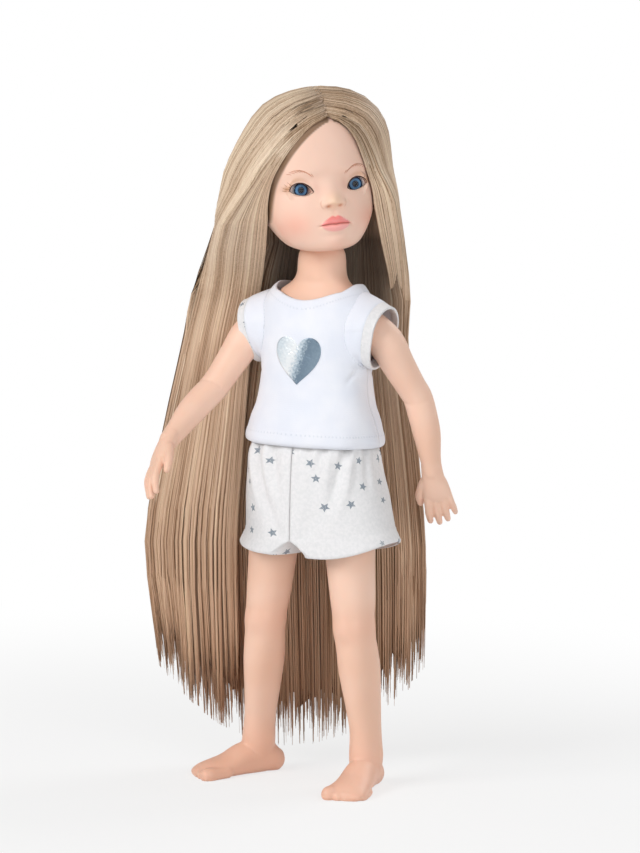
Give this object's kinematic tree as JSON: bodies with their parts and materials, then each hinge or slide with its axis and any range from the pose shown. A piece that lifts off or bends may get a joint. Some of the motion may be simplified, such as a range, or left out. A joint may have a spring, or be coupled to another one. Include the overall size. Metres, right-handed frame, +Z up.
{
  "type": "doll",
  "caption": "Jointed vinyl play doll with very long rooted hair and inset eyes, turning head and swinging limbs, in a knit sleeveless top and gathered shorts, barefoot.",
  "frame": {"origin": "on the floor plane, under the middle of the doll's bounding box as it stands", "axes": "+Z up from the soles to the crown, -Y the way the chest faces, +X towards the doll's own left"},
  "size_m": [0.1358, 0.115, 0.3207],
  "materials": {
    "skin_vinyl": "soft matt vinyl",
    "face_vinyl": "matt vinyl with painted lips, brows and lashes",
    "hair": "long straight rooted fibre with a soft sheen",
    "eye_white": "gloss",
    "iris": "printed iris, gloss",
    "eye_lens": "clear acrylic",
    "star_cotton": "printed woven cotton",
    "knit": "fine jersey knit",
    "closure_tape": "hook and loop tape",
    "foil": "metallic silver foil print",
    "elastic": "woven elastic"
  },
  "bodies": {
    "torso": {"torso_shell": "skin_vinyl", "top_front": "knit", "top_back_left": "knit", "top_back_right": "knit", "loop_tape": "closure_tape", "hook_tape": "closure_tape", "foil_print": "foil", "shorts_left": "star_cotton", "shorts_right": "star_cotton", "waist_elastic": "elastic", "sleeve_cuff_left": "star_cotton", "sleeve_cuff_right": "star_cotton"},
    "head": {"head_shell": "face_vinyl", "hair_crown": "hair", "hair_fall_right": "hair", "hair_back_right": "hair", "hair_back_left": "hair", "hair_fall_left": "hair", "eye_white_left": "eye_white", "eye_white_right": "eye_white", "iris_left": "iris", "iris_right": "iris", "eye_lens_left": "eye_lens", "eye_lens_right": "eye_lens"},
    "left_arm": {"arm_left": "skin_vinyl"},
    "right_arm": {"arm_right": "skin_vinyl"},
    "left_leg": {"leg_left": "skin_vinyl"},
    "right_leg": {"leg_right": "skin_vinyl"}
  },
  "joints": [
    {"name": "head_turn", "type": "hinge", "parent": "torso", "child": "head", "pos_m": [0.01355, 0.01053, 0.24], "axis": [0, 0, 1], "range_deg": [-134.5, 45.5], "deforming": ["hair_fall_right", "hair_back_right", "hair_back_left", "hair_fall_left"]},
    {"name": "left_shoulder", "type": "hinge", "parent": "torso", "child": "left_arm", "pos_m": [0.04155, 0.00753, 0.211], "axis": [0.9781, 0, -0.2079], "continuous": true, "deforming": ["sleeve_cuff_left"]},
    {"name": "right_shoulder", "type": "hinge", "parent": "torso", "child": "right_arm", "pos_m": [-0.01445, 0.00753, 0.211], "axis": [-0.9781, 0, -0.2079], "continuous": true, "deforming": ["sleeve_cuff_right"]},
    {"name": "left_hip", "type": "hinge", "parent": "torso", "child": "left_leg", "pos_m": [0.02595, 0.00753, 0.1285], "axis": [0.8192, 0, -0.5736], "range_deg": [-90, 30], "deforming": ["shorts_left"]},
    {"name": "right_hip", "type": "hinge", "parent": "torso", "child": "right_leg", "pos_m": [0.00115, 0.00753, 0.1285], "axis": [-0.8192, 0, -0.5736], "range_deg": [-30, 90], "deforming": ["shorts_right"]}
  ]
}
